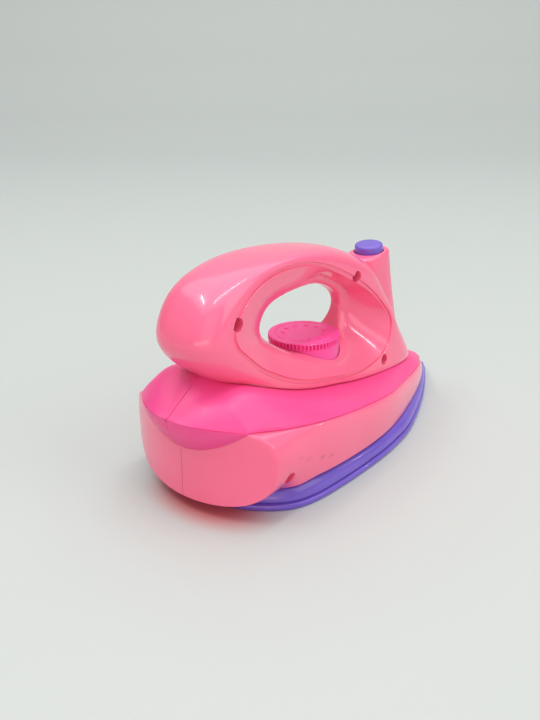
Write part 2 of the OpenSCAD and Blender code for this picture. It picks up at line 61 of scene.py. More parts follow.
SOLE_TABLE = [
    (0, 0), (0.01, 0.33), (0.03, 0.56), (0.07, 0.785), (0.113, 0.91), (0.17, 0.972), (0.25, 0.995),
    (0.34, 0.998), (0.43, 0.985), (0.51, 0.945), (0.6, 0.865), (0.735, 0.645), (0.855, 0.4),
    (0.96, 0.14), (1, 0)]
SOLE_PROFILE = [
    (2.4, 0.0), (1.0, 0.0), (0.45, 0.1), (0.12, 0.42), (0.0, 0.95), (0.0, 1.7), (0.1, 2.15), (0.32, 2.45),
    (0.62, 2.56), (1.2, 2.66), (1.7, 2.76), (1.85, 3.0), (1.7, 3.22), (1.2, 3.34), (0.85, 3.46), (0.74, 3.7),
    (0.85, 4.3), (1.15, 5.0), (1.6, 5.8), (2.2, 6.4), (3.0, 6.85), (4.0, 7.1), (5.2, 7.25),
    (5.5, 7.45), (5.6, 8.0)]
SOLE_SCREWS = [(44.33, 19.0), (117.65, 10.64)]
SOLE_HOLE = 2.55
SOLE_HOLE_ENDS = (-2, 4)


def smooth_value(x, table):
    """A smooth curve through a table of places and values."""
    last = len(table) - 2
    i = 0
    while i < last and x >= table[i + 1][0]:
        i += 1

    def slope(k):
        a = max(k - 1, 0)
        b = min(k + 1, len(table) - 1)
        return (table[b][1] - table[a][1]) / (table[b][0] - table[a][0])

    span = table[i + 1][0] - table[i][0]
    u = min(max((x - table[i][0]) / span, 0), 1)
    up = u * u * (3 - 2 * u)
    lean = slope(i) * u * (1 - u) ** 2 - slope(i + 1) * u * u * (1 - u)
    return table[i][1] * (1 - up) + table[i + 1][1] * up + span * lean


def closed_curve(rows, steps):
    """A smooth closed loop through rows of numbers."""
    p = np.array(rows, float)
    n = len(p)
    out = []
    for i in range(n):
        a = p[i - 1]
        b = p[i]
        c = p[(i + 1) % n]
        d = p[(i + 2) % n]
        for k in range(steps):
            u = k / steps
            cubic = (3 * b - a - 3 * c + d) * u ** 3
            out.append(0.5 * (2 * b + (c - a) * u + (2 * a - 5 * b + 4 * c - d) * u * u + cubic))
    return np.array(out)


def new_piece(name, points, faces, sharp=38):
    """A mesh object from points in mm, measured forward from the heel."""
    mesh = bpy.data.meshes.new(name)
    place = (np.array(points, float) + (HEEL_PLACE, 0, 0)) * MM
    mesh.from_pydata([tuple(p) for p in place], [], faces)
    work = bmesh.new()
    work.from_mesh(mesh)
    bmesh.ops.remove_doubles(work, verts=work.verts, dist=1e-6)
    bmesh.ops.dissolve_degenerate(work, edges=work.edges, dist=1e-7)
    bmesh.ops.recalc_face_normals(work, faces=work.faces)
    work.to_mesh(mesh)
    work.free()
    mesh.shade_smooth()
    mesh.set_sharp_from_angle(angle=math.radians(sharp))
    piece = bpy.data.objects.new(name, mesh)
    bpy.context.scene.collection.objects.link(piece)
    return piece


def loft(name, rings, closed=False, sharp=38):
    """A closed solid through a row of outlines with the same number of points."""
    rings = np.array(rings, float)
    n, m = rings.shape[:2]
    faces = []
    for i in range(n if closed else n - 1):
        for j in range(m):
            k = (i + 1) % n
            faces.append((i * m + j, i * m + (j + 1) % m, k * m + (j + 1) % m, k * m + j))
    if not closed:
        faces.append(tuple(range(m))[::-1])
        faces.append(tuple(range((n - 1) * m, n * m)))
    return new_piece(name, rings.reshape(-1, 3), faces, sharp)


def linear(red, green, blue):
    """A colour from screen values, 0 to 255, as the shader takes it."""
    def one(v):
        v = v / 255
        return v / 12.92 if v <= 0.04045 else ((v + 0.055) / 1.055) ** 2.4

    return (one(red), one(green), one(blue), 1.0)


def moulded_plastic(name, light, dark, glow, rough, grain, coat):
    """Moulded plastic: slight cloudiness, an orange-peel skin and fine rubbed streaks in the gloss."""
    mat = bpy.data.materials.new(name)
    mat.use_nodes = True
    nodes = mat.node_tree.nodes
    link = mat.node_tree.links.new
    skin = nodes["Principled BSDF"]
    place = nodes.new("ShaderNodeTexCoord")
    cloud = nodes.new("ShaderNodeTexNoise")
    cloud.inputs["Scale"].default_value = 26
    cloud.inputs["Detail"].default_value = 4
    link(place.outputs["Object"], cloud.inputs["Vector"])
    tint = nodes.new("ShaderNodeValToRGB")
    tint.color_ramp.elements[0].position = 0.3
    tint.color_ramp.elements[0].color = dark
    tint.color_ramp.elements[1].position = 0.7
    tint.color_ramp.elements[1].color = light
    link(cloud.outputs["Fac"], tint.inputs["Fac"])
    link(tint.outputs["Color"], skin.inputs["Base Color"])
    stretch = nodes.new("ShaderNodeMapping")
    stretch.inputs["Scale"].default_value = (60, 900, 1400)
    stretch.inputs["Rotation"].default_value = (0.2, 0.5, 0.3)
    link(place.outputs["Object"], stretch.inputs["Vector"])
    streak = nodes.new("ShaderNodeTexNoise")
    streak.inputs["Scale"].default_value = 1
    streak.inputs["Detail"].default_value = 6
    link(stretch.outputs["Vector"], streak.inputs["Vector"])
    gloss = nodes.new("ShaderNodeMapRange")
    gloss.inputs["From Min"].default_value = 0.35
    gloss.inputs["From Max"].default_value = 0.75
    gloss.inputs["To Min"].default_value = rough
    gloss.inputs["To Max"].default_value = rough + 0.05
    link(streak.outputs["Fac"], gloss.inputs["Value"])
    link(gloss.outputs["Result"], skin.inputs["Roughness"])
    peel = nodes.new("ShaderNodeTexNoise")
    peel.inputs["Scale"].default_value = 620
    peel.inputs["Detail"].default_value = 3
    link(place.outputs["Object"], peel.inputs["Vector"])
    relief = nodes.new("ShaderNodeBump")
    relief.inputs["Strength"].default_value = grain
    relief.inputs["Distance"].default_value = 0.0001
    link(peel.outputs["Fac"], relief.inputs["Height"])
    link(relief.outputs["Normal"], skin.inputs["Normal"])
    skin.inputs["Subsurface Weight"].default_value = 0.06
    skin.inputs["Subsurface Radius"].default_value = glow
    skin.inputs["Subsurface Scale"].default_value = 0.006
    skin.inputs["IOR"].default_value = 1.5
    skin.inputs["Coat Weight"].default_value = coat
    skin.inputs["Coat Roughness"].default_value = 0.05
    return mat


def stands_for(piece, body, node, mat):
    """Gives a piece its material and its body, and puts it in the place of a plain solid."""
    piece.data.materials.clear()
    piece.data.materials.append(mat)
    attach(piece, body)
    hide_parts(node)


def carve(piece, cutters, operation="DIFFERENCE", sharp=38):
    """Cuts other closed pieces out of a piece, or joins them to it, and keeps the result as its mesh."""
    for cutter in cutters:
        step = piece.modifiers.new("cut", "BOOLEAN")
        step.operation = operation
        step.solver = "EXACT"
        step.object = cutter
    shown = piece.evaluated_get(bpy.context.evaluated_depsgraph_get())
    mesh = bpy.data.meshes.new_from_object(shown)
    piece.modifiers.clear()
    piece.data = mesh
    mesh.shade_smooth()
    mesh.set_sharp_from_angle(angle=math.radians(sharp))
    for cutter in cutters:
        bpy.data.objects.remove(cutter)


def rod(start, end, radius, steps=48):
    """A plain round cutter between two points."""
    start = np.array(start, float)
    end = np.array(end, float)
    along = (end - start) / np.linalg.norm(end - start)
    side = np.cross(along, (0.3, 0.5, 0.8))
    side /= np.linalg.norm(side)
    other = np.cross(along, side)
    turn = np.linspace(0, 2 * math.pi, steps, endpoint=False)
    ring = radius * (np.outer(np.cos(turn), side) + np.outer(np.sin(turn), other))
    return loft("cutter", [ring + start, ring + end])


def sole_top(x):
    """Height of the line where the body stands on the sole, highest at the rear."""
    return min(COVE_REAR - COVE_FALL * x, COVE_HEEL + COVE_HEEL_RISE * max(x - SOLE_START, 0))


def sole_ring(inset, z):
    """The sole's outline drawn in by a distance, held back from crossing itself at the point."""
    ring = sole_line - inset * sole_out
    crossed = ring[:, 1] * sole_line[:, 1] < 0
    if crossed.any():
        ring[crossed] = (ring[~crossed][:, 0].max(), 0)
    share = max(z - COVE_FOOT, 0) / (SOLE_HEIGHT - COVE_FOOT)
    heights = np.array([z + share * (sole_top(x) - SOLE_HEIGHT) for x in ring[:, 0]])
    return np.column_stack([ring, heights])


sole_rows = [(SOLE_START + a * SOLE_LENGTH, b * HALF_WIDTH) for a, b in SOLE_TABLE]
sole_rows += [(x, -y) for x, y in sole_rows[-2:0:-1]]
sole_line = closed_curve(sole_rows, 14)
sole_turn = np.roll(sole_line, -1, 0) - np.roll(sole_line, 1, 0)
sole_out = np.stack([-sole_turn[:, 1], sole_turn[:, 0]], 1) / np.linalg.norm(sole_turn, axis=1)[:, None]
purple = moulded_plastic(
    "purple_plastic", light=linear(120, 91, 200), dark=linear(106, 79, 188), glow=(0.5, 0.4, 1.0),
    rough=0.22, grain=0.05, coat=0.3)
sole_plate = loft("sole_plate_moulding", [sole_ring(a, z) for a, z in SOLE_PROFILE], sharp=SOLE_SHARP)
low, high = SOLE_HOLE_ENDS
sole_holes = [rod((x, side * y, low), (x, side * y, high), SOLE_HOLE)
              for x, y in SOLE_SCREWS for side in (-1, 1)]
carve(sole_plate, sole_holes, sharp=SOLE_SHARP)
stands_for(sole_plate, "iron", "sole_plate", purple)

# Body halves
# Two light pink glossy mouldings that bulge between the sole and the belt line, with a flat heel.
# They meet on a seam down the heel and are held by one screw, driven from a hole in the right side.
# A few scuffs mark the right side.
BODY_LENGTH = 170.5
BODY_SHARP = 48
HEEL_LIFT = 5.0
HEEL_RADIUS = 62.0
HEEL_BLEND_START = 11
HEEL_BLEND_LENGTH = 17
BELT_REAR = 37.7
BELT_FRONT = 11.0
BELT_GROOVE = 0.8
BELT_ROUND = 0.45
BELT_TURN = 0.2
NOSE_START = 145
NOSE_DROP = 4.3
SCALLOP = 25.6
CORNER = 27.4
CORNER_PASSES = 8
CORNER_REACH = 5
SEAM = 0.015
COVE_INSET = 2.6
FOOT_LEAST = 1.2
FOOT_SINK = 0.1
LOWER_POWER = 0.75
BELT_TABLE = [
    (0.037, 0.72), (0.065, 0.76), (0.115, 0.84), (0.165, 0.89), (0.235, 0.925), (0.325, 0.93), (0.425, 0.9),
    (0.55, 0.82), (0.7, 0.62), (0.825, 0.435), (0.905, 0.285), (0.965, 0.13), (1, 0.035)]
BULGE_TABLE = [
    (0, 0.95), (0.08, 0.955), (0.2, 0.965), (0.3, 0.97), (0.43, 0.95), (0.56, 0.865), (0.7, 0.685),
    (0.83, 0.475), (0.92, 0.285), (1, 0.06)]
BULGE_HEIGHT_TABLE = [
    (0, 0.64), (0.12, 0.65), (0.28, 0.58), (0.45, 0.52), (0.56, 0.45), (0.7, 0.4), (1, 0.4)]
HEEL_TABLE = [
    (0, 19.0, 6.2), (0.12, 23.6, 7.1), (0.25, 27.3, 8.3), (0.37, 30.2, 10.0), (0.49, 32.6, 12.1),
    (0.6, 34.3, 14.4), (0.71, 35.4, 17.0), (0.81, 36.0, 19.7), (0.91, 36.3, 22.4), (1, 36.36, 25.1)]
FOOT_TABLE = [
    (0, 0), (0.01, 0.33), (0.03, 0.55), (0.08, 0.8), (0.18, 0.955), (0.3, 1), (0.47, 0.94),
    (0.6, 0.81), (0.735, 0.6), (0.855, 0.375), (0.96, 0.14), (1, 0)]
SEAM_DROP = [(SEAM, 0.06), (0.05, 0.02), (0.12, 0.004)]
BODY_SCREW = (20.0, 16.3)
SCREW_HOLE = 2.5
HOLE_MOUTH = -45
HOLE_FLOOR = -4
LIGHT_PINK = {
    "light": linear(252, 110, 149),
    "dark": linear(250, 102, 141),
    "glow": (1.0, 0.25, 0.22),
    "rough": 0.22,
    "grain": 0.04,
    "coat": 0.5}
SCUFFS = [(37.6, 18.4, 2.6, 0.75), (43.2, 16.7, 2.4, 0.65), (29.3, 20.9, 3.0, 0.3), (24.4, 23.2, 2.6, 0.25)]
SCUFF_Y = -36.3
SCUFF_DEPTH = 5


def belt(x):
    """Height of the belt line, where the deck lies on the body."""
    nose = max(x - NOSE_START, 0) / (BODY_LENGTH - NOSE_START)
    return BELT_REAR + (BELT_FRONT - BELT_REAR) * x / BODY_LENGTH - NOSE_DROP * nose ** 2


def belt_half(x):
    """Half the width at the belt line."""
    return HALF_WIDTH * smooth_value(x / BODY_LENGTH, BELT_TABLE)


def heel_at(y):
    """How far forward the bowed heel has run at a distance from the seam."""
    return HEEL_RADIUS - math.sqrt(HEEL_RADIUS ** 2 - y * y)


def scallop(y):
    """Height of the scallop's edge in the heel at a distance from the seam."""
    return SCALLOP + (belt(heel_at(CORNER)) - SCALLOP) * (y / CORNER) ** 2


def body_point(x, kind, a):
    """A point of the body's side, on the lower arc from the sole or heel, or on the upper arc to the belt."""
    waist = HALF_WIDTH * smooth_value(x / BODY_LENGTH, BULGE_TABLE)
    foot_half = HALF_WIDTH * smooth_value((x - SOLE_START) / SOLE_LENGTH, FOOT_TABLE)
    foot = max(min(foot_half - COVE_INSET, waist), FOOT_LEAST)
    edge = belt_half(x)
    top = belt(x)
    mid = HEEL_LIFT + (top - HEEL_LIFT) * smooth_value(x / BODY_LENGTH, BULGE_HEIGHT_TABLE)
    turn = math.pi / 2 * a
    if kind == "upper":
        return edge + (waist - edge) * math.cos(turn), mid + (top - mid) * math.sin(turn)
    lowest = (max(sole_top(x) - FOOT_SINK - HEEL_LIFT, 0) / (mid - HEEL_LIFT)) ** (1 / LOWER_POWER)
    start = math.acos(1 - min(lowest, 0.9))
    turn = start + (math.pi / 2 - start) * a
    y = foot + (waist - foot) * math.sin(turn)
    z = HEEL_LIFT + (mid - HEEL_LIFT) * (1 - math.cos(turn)) ** LOWER_POWER
    ahead = min(max((x - HEEL_BLEND_START) / HEEL_BLEND_LENGTH, 0), 1)
    ahead = ahead * ahead * (3 - 2 * ahead)
    heel_y = smooth_value(a, [(r[0], r[1]) for r in HEEL_TABLE]) * waist / HEEL_TABLE[-1][1]
    heel_z = smooth_value(a, [(r[0], r[2]) for r in HEEL_TABLE])
    heel_z += (mid - HEEL_TABLE[-1][2]) * a
    return heel_y + (y - heel_y) * ahead, heel_z + (z - heel_z) * ahead


body_rows = [("lower", a) for a in np.linspace(0, 1, 22)]
body_rows += [("upper", a) for a in np.linspace(0, 1, 22)[1:]]
heel_end = 1 - np.array([0.085, 0.07, 0.056, 0.044, 0.033, 0.022, 0.011, 0])
heel_steps = np.concatenate([np.linspace(0, 0.9, 26), heel_end])
side_steps = np.concatenate([[0.002, 0.004, 0.006, 0.0085, 0.011, 0.014], np.linspace(0.018, 1, 120)])
body_grid = []
for kind, a in body_rows:
    start = 6.0
    for turn in range(14):
        y0, z0 = body_point(start, kind, a)
        start = heel_at(y0)
    y0, z0 = body_point(start, kind, a)
    lowest = HEEL_TABLE[0][2]
    share = (z0 - lowest) / (belt(heel_at(CORNER)) - lowest)
    middle = HEEL_LIFT + share * (SCALLOP - HEEL_LIFT)
    line = [(drop, y, middle) for y, drop in SEAM_DROP]
    for step in heel_steps[1:]:
        line.append((heel_at(y0 * step), y0 * step, middle + (z0 - middle) * step ** 2))
    for step in side_steps:
        x = start + (BODY_LENGTH - start) * step
        y, z = body_point(x, kind, a)
        line.append((x, y, z))
    line = np.array(line)
    corner = len(SEAM_DROP) + len(heel_steps) - 2
    first = corner - CORNER_REACH
    last = corner + CORNER_REACH + 1
    for turn in range(CORNER_PASSES):
        near = line[first - 1:last + 1]
        line[first:last] = 0.25 * near[:-2] + 0.5 * near[1:-1] + 0.25 * near[2:]
    body_grid.append(line)
body_rings = []
for column in np.transpose(np.array(body_grid), (1, 0, 2)):
    low = column[0]
    high = column[-1]
    upper = column[-1] - column[-2]
    upper /= max(np.linalg.norm(upper), 1e-6)
    inward = np.array([0, -min(BELT_GROOVE, high[1] * 0.5), 0])
    rim = [high - BELT_ROUND * upper, high - BELT_TURN * upper + BELT_TURN * inward, high + inward]
    body_rings.append([(low[0], SEAM, low[2])] + list(column[:-1]) + rim + [(high[0], SEAM, high[2])])
body_rings = np.array(body_rings)

body_pink = moulded_plastic("body_pink_plastic", **LIGHT_PINK)
body_nodes = body_pink.node_tree.nodes
body_link = body_pink.node_tree.links.new
body_skin = body_nodes["Principled BSDF"]
body_place = body_nodes.new("ShaderNodeTexCoord")
scuff_grain = body_nodes.new("ShaderNodeTexNoise")
scuff_grain.inputs["Scale"].default_value = 1100
scuff_grain.inputs["Detail"].default_value = 4
body_link(body_place.outputs["Object"], scuff_grain.inputs["Vector"])
scuff_marks = None
for x, z, reach, strength in SCUFFS:
    size = (1 / (reach * MM), 1 / (SCUFF_DEPTH * MM), 1 / (0.5 * reach * MM))
    spot = ((x + HEEL_PLACE) * MM, SCUFF_Y * MM, z * MM)
    scuff_shift = body_nodes.new("ShaderNodeMapping")
    scuff_shift.inputs["Scale"].default_value = size
    scuff_shift.inputs["Location"].default_value = [-s * p for s, p in zip(size, spot)]
    scuff_spot = body_nodes.new("ShaderNodeTexGradient")
    scuff_spot.gradient_type = "SPHERICAL"
    scuff_amount = body_nodes.new("ShaderNodeMath")
    scuff_amount.operation = "MULTIPLY_ADD"
    scuff_amount.inputs[1].default_value = strength
    scuff_amount.inputs[2].default_value = 0
    body_link(body_place.outputs["Object"], scuff_shift.inputs["Vector"])
    body_link(scuff_shift.outputs["Vector"], scuff_spot.inputs["Vector"])
    body_link(scuff_spot.outputs["Fac"], scuff_amount.inputs[0])
    if scuff_marks:
        body_link(scuff_marks, scuff_amount.inputs[2])
    scuff_marks = scuff_amount.outputs["Value"]
scuff_speckle = body_nodes.new("ShaderNodeMath")
scuff_speckle.operation = "MULTIPLY"
body_link(scuff_marks, scuff_speckle.inputs[0])
body_link(scuff_grain.outputs["Fac"], scuff_speckle.inputs[1])
scuffed = body_nodes.new("ShaderNodeMix")
scuffed.data_type = "RGBA"
scuffed.inputs["B"].default_value = linear(120, 70, 70)
body_link(scuff_speckle.outputs["Value"], scuffed.inputs["Factor"])
body_link(body_skin.inputs["Base Color"].links[0].from_socket, scuffed.inputs["A"])
body_link(scuffed.outputs["Result"], body_skin.inputs["Base Color"])

for side, name in ((1, "left"), (-1, "right")):
    half = loft("body_moulding_" + name, body_rings * (1, side, 1), sharp=BODY_SHARP)
    if name == "right":
        x, z = BODY_SCREW
        carve(half, [rod((x, HOLE_MOUTH, z), (x, HOLE_FLOOR, z), SCREW_HOLE)], sharp=BODY_SHARP)
    stands_for(half, "iron", "body_" + name, body_pink)

# Deck halves
# Two hot pink satin mouldings on top of the body, screwed to it from below.
# They are humped at the rear to carry the handle. The rear hangs over the heel, with a sharp crease
# and a facet that slopes in under it to the scallop.
OVERHANG = 6.7
TONGUE = 10.0
TONGUE_BOW = 0.2
TONGUE_GAP = 0.15
TONGUE_SINK = 0.5
TONGUE_LAP = 0.6
TONGUE_SEAM_DROP = 0.2
HANDLE_SPAN = 150.0
GRIP_TOP = 90.0
HANDLE_HALF = 18.0
DECK_EDGE = 0.9
DECK_EDGE_RISE = 0.2
DECK_FULL = 2.2
HUMP_FULL = 0.8
HUMP_PLACE = 3
HUMP_REACH = 14
CROWN = 2.4
CROWN_PLACE = 13.0
CROWN_REACH = 8.0
SEAM_GROOVE = 0.24
DECK_SAMPLES = np.linspace(-12, 176, 377)
SAMPLE_STEP = 0.5
SAMPLE_REACH = 30
DECK_TABLE = [
    (-0.045, 0.419), (-0.02, 0.457), (0.027, 0.503), (0.075, 0.537), (0.11, 0.537), (0.145, 0.517),
    (0.197, 0.481), (0.293, 0.42), (0.38, 0.378), (0.467, 0.347), (0.567, 0.308), (0.66, 0.28),
    (0.773, 0.253), (0.873, 0.239), (0.96, 0.23), (1.0, 0.215), (1.06, 0.178), (1.1, 0.146),
    (1.125, 0.116), (1.137, 0.088)]
SEAT_TABLE = [
    (-0.045, 0), (0.0, 0.25), (0.04, 0.45), (0.08, 0.64), (0.113, 0.8), (0.147, 0.95), (0.2, 1.06),
    (0.3, 1.11), (0.467, 1.09), (0.567, 1.03), (0.66, 0.94), (0.76, 0.78), (0.867, 0.56), (0.96, 0.26),
    (1.0, 0.14), (1.1, 0.06)]
crease_bow = CORNER ** 2 / (OVERHANG + heel_at(CORNER))


def softened(table, scale, width):
    """Samples of a table's curve, averaged over a width along the length."""
    values = np.array([scale * smooth_value(x / HANDLE_SPAN, table) for x in DECK_SAMPLES])
    reach = np.arange(-SAMPLE_REACH, SAMPLE_REACH + 1)
    weights = np.exp(-0.5 * (reach * SAMPLE_STEP / width) ** 2)
    padded = np.concatenate([np.full(SAMPLE_REACH, values[0]), values, np.full(SAMPLE_REACH, values[-1])])
    return DECK_SAMPLES, np.convolve(padded, weights / weights.sum(), "valid")


deck_line = softened(DECK_TABLE, GRIP_TOP, 2.5)
seat_line = softened(SEAT_TABLE, HANDLE_HALF, 6.0)


def deck_top(x):
    """Height of the deck where the handle sits on it."""
    return float(np.interp(x, *deck_line))


def crease_at(y):
    """How far the bowed crease at the rear hangs over the heel at a distance from the seam."""
    return y * y / crease_bow - OVERHANG


def deck_section(x):
    """Half an outline across the deck, from its edge on the belt up to the handle's seat and the seam."""
    edge = math.sqrt((x + OVERHANG) * crease_bow) if x < heel_at(CORNER) else belt_half(x)
    flat = min(max(float(np.interp(x, *seat_line)), 0.1 * edge), 0.8 * edge)
    low = belt(x)
    top = max(deck_top(x), low + 0.3)
    full = DECK_FULL + HUMP_FULL * math.exp(-((x - HUMP_PLACE) / HUMP_REACH) ** 2)
    ring = [(x, SEAM, low), (x, max(edge - DECK_EDGE, SEAM), low)]
    ring.append((x, max(edge - DECK_EDGE / 2, SEAM), low + DECK_EDGE_RISE))
    for t in np.linspace(0.97, 0, 30):
        y = flat + (edge - flat) * t
        ring.append((x, max(y, SEAM), low + (top - low) * (1 - t ** full)))
    crown = CROWN * math.exp(-((x - CROWN_PLACE) / CROWN_REACH) ** 2)
    fine = min(flat / 2, SEAM_GROOVE)
    for t in np.linspace(1, 0.05, 14)[1:]:
        ring.append((x, max(fine + (flat - fine) * t, SEAM), top + crown * math.cos(math.pi / 2 * t) ** 2))
    peak = top + crown
    ring += [(x, fine, peak - 0.02), (x, max(fine / 2, SEAM), peak - 0.2), (x, SEAM, peak - 0.8)]
    return ring


deck_places = [crease_at(CORNER * s) for s in np.linspace(0.03, 0.985, 34)]
deck_places += list(np.linspace(heel_at(CORNER), BODY_LENGTH - 0.05, 130))
deck_rings = np.array([deck_section(x) for x in deck_places])
tongue_rings = []
for y in np.linspace(SEAM, CORNER * 0.985, 50):
    drop = TONGUE_SEAM_DROP if y < 0.05 else 0
    x = crease_at(y)
    foot = heel_at(y)
    z = scallop(y)
    middle = (x + TONGUE) / 2
    ring = []
    for t in np.linspace(0, 1, 12):
        slope_x = x + (foot - x) * (t - TONGUE_BOW * math.sin(math.pi * t)) + drop
        ring.append((slope_x, y, belt(x) + (z + TONGUE_GAP - belt(x)) * t))
    ring += [(foot + TONGUE_SINK, y, z), (TONGUE, y, z)]
    ring += [(TONGUE, y, belt(TONGUE)), (middle, y, belt(middle) + TONGUE_LAP)]
    tongue_rings.append(ring)
tongue_rings = np.array(tongue_rings)
hot_pink = moulded_plastic(
    "hot_pink_plastic", light=linear(244, 76, 147), dark=linear(239, 69, 140), glow=(1.0, 0.2, 0.35),
    rough=0.4, grain=0.07, coat=0.05)
for side, name in ((1, "left"), (-1, "right")):
    half = loft("deck_moulding_" + name, deck_rings * (1, side, 1))
    tongue = loft("deck_tongue", tongue_rings * (1, side, 1))
    work = bmesh.new()
    work.from_mesh(half.data)
    work.from_mesh(tongue.data)
    work.to_mesh(half.data)
    work.free()
    bpy.data.objects.remove(tongue)
    stands_for(half, "iron", "deck_" + name, hot_pink)

# Handle halves
# Two light pink glossy mouldings that close into an egg-shaped loop, screwed together from the right side.
# A moulded line runs round the dished side of the finger opening. The saddle holds the dial in a well,
# and a tower at the front holds the button.
HANDLE_TABLE = [
    (0.245, 0.700, -0.008, 0.758, 0.61, 0.88, 0.30),
    (0.263, 0.744, 0.044, 0.900, 0.70, 0.85, 0.28),
    (0.293, 0.778, 0.133, 0.967, 0.71, 0.80, 0.28),
    (0.360, 0.798, 0.253, 0.993, 0.74, 0.75, 0.28),
    (0.440, 0.794, 0.400, 0.987, 0.70, 0.72, 0.28),
    (0.513, 0.776, 0.533, 0.951, 0.46, 0.72, 0.25),
    (0.573, 0.744, 0.653, 0.878, 0.31, 0.72, 0.22),
    (0.613, 0.689, 0.747, 0.778, 0.39, 0.72, 0.20),
    (0.627, 0.633, 0.813, 0.622, 0.57, 0.73, 0.19),
    (0.617, 0.567, 0.873, 0.467, 0.66, 0.74, 0.27),
    (0.587, 0.507, 1.000, 0.156, 0.45, 0.80, 0.50),
    (0.547, 0.488, 0.787, 0.044, 0.30, 0.94, 0.76),
    (0.480, 0.492, 0.507, 0.022, 0.25, 1.00, 0.90),
    (0.413, 0.500, 0.280, 0.089, 0.24, 1.00, 0.78),
    (0.347, 0.553, 0.147, 0.267, 0.29, 0.98, 0.58),
    (0.290, 0.606, 0.140, 0.450, 0.47, 0.94, 0.42),
    (0.254, 0.656, 0.012, 0.640, 0.54, 0.91, 0.34)]
GROOVE_DEPTH = 0.75
GROOVE_HALF = 1.1
GROOVE_STEPS = (-0.95, -0.85, -0.75, -0.65, -0.5, -0.25, 0, 0.25, 0.5, 0.65, 0.75, 0.85, 0.95)
SHOULDER_POWER = 2.5
DISH_POWER = 1.25
FLAT_POWER = 2.2
FLAT_SHARE = 0.75
EDGE_ROUND = 3.0
FRONT_ROUND = 2.0
FRONT_START = 0.33
FRONT_BLEND = 0.25
SADDLE_ROUND = 3.5
FOOT_GAP = 0.8
FOOT_INSET = 1.4
HANDLE_SCREWS = [(15.45, 71.55), (91.5, 71.64), (112.5, 28.8)]
TOWER_X = 119.1
TOWER_TOP = 75.4
TOWER_LEAN = math.radians(7)
TOWER_HALF = 7.9
TOWER_EDGE = 1.5
TOWER_TABLE = [
    (0.2, 0.105, 0.235, 1.5), (0.5, 0.045, 0.19, 1.26), (0.67, 0.022, 0.17, 1.12), (0.8, 0.004, 0.156, 1.06),
    (0.92, -0.011, 0.147, 1.02), (0.985, -0.018, 0.142, 0.99), (1, -0.018, 0.14, 0.98)]
BUTTON_RADIUS = 6.25
BUTTON_GAP = 0.3
HOLE_EDGE = 0.25
STEM_RADIUS = 3.0
STEM_DEPTH = 16
STEM_CUT = (3, 15.9)
STEM_POINT = 0.4
RECESS = 11.4
CUT_SKIN = 0.02
DIAL_X = 72.5
DIAL_RADIUS = 15.0
WELL_FLOOR = 40.0
WELL_MOUTH = 60
WELL_GAP = 0.12


def handle_section(row):
    """Half an outline through the loop, from the opening over dish and moulded line to the outside."""
    inner = np.array([row[0] * HANDLE_SPAN, row[1] * GRIP_TOP])
    outer = np.array([row[2] * HANDLE_SPAN, row[3] * GRIP_TOP])
    along = outer - inner
    reach = np.linalg.norm(along)
    groove = HANDLE_HALF * row[5]
    edge = HANDLE_HALF * row[6]
    half_line = GROOVE_HALF / reach
    limit = 1.0
    if outer[1] < deck_top(outer[0]):
        low = row[4] * 0.5
        for turn in range(40):
            u = (low + limit) / 2
            spot = inner + along * u
            if spot[1] < deck_top(spot[0]):
                limit = u
            else:
                low = u
    front = min(max((row[0] - FRONT_START) / FRONT_BLEND, 0), 1)
    front = front * front * (3 - 2 * front)
    round_share = (EDGE_ROUND + FRONT_ROUND * front + SADDLE_ROUND * max(row[6] - 0.3, 0)) / reach
    round_share = min(round_share, 0.6 * (row[4] - half_line))
    spots = [(0.0, SEAM)]
    dish = row[4] - half_line - round_share
    places = [round_share * (1 - math.cos(math.radians(a))) for a in np.linspace(0, 90, 10)]
    places += [round_share + d * dish for d in np.linspace(0, 1, 22)[1:]]
    for u in places:
        near = 1 - min(u / round_share, 1)
        hollow = edge * (0.5 + 0.5 * math.sqrt(1 - near ** 2))
        hollow += (groove - edge) * max((u - round_share) / dish, 0) ** DISH_POWER
        far = 1 - min(u / (round_share + dish), 1)
        flat = 0.5 * edge + (groove - 0.5 * edge) * (1 - far ** FLAT_POWER) ** (1 / FLAT_POWER)
        spots.append((u, hollow + (flat - hollow) * FLAT_SHARE * (1 - front)))
    for d in GROOVE_STEPS:
        side = min(max((1 - abs(d)) / 0.3, 0), 1)
        spots.append((row[4] + d * half_line, groove - GROOVE_DEPTH * side * side * (3 - 2 * side)))
    first = row[4] + half_line
    seated = limit < 1
    last = (limit - FOOT_GAP / reach - first) / (1 - first) if seated else 0.9996
    for s in 1 - np.linspace(1, 0, 34) ** 1.7:
        s = s * last
        spots.append((first + s * (1 - first), groove * (1 - s ** SHOULDER_POWER) ** (1 / SHOULDER_POWER)))
    end_u, end_y = spots[-1]
    spots.append((end_u, end_y - FOOT_INSET) if seated else (0.9998, end_y * 0.6))
    spots.append((limit, end_y - FOOT_INSET) if seated else (0.9999, end_y * 0.3))
    spots.append((limit, SEAM))
    return [(inner[0] + along[0] * u, max(y, SEAM), inner[1] + along[1] * u) for u, y in spots]


def few_waves(values, count):
    """A closed row of values kept to its first few waves, so that it runs smoothly."""
    waves = np.fft.fft(values)
    waves[count + 1:len(values) - count] = 0
    return np.fft.ifft(waves)


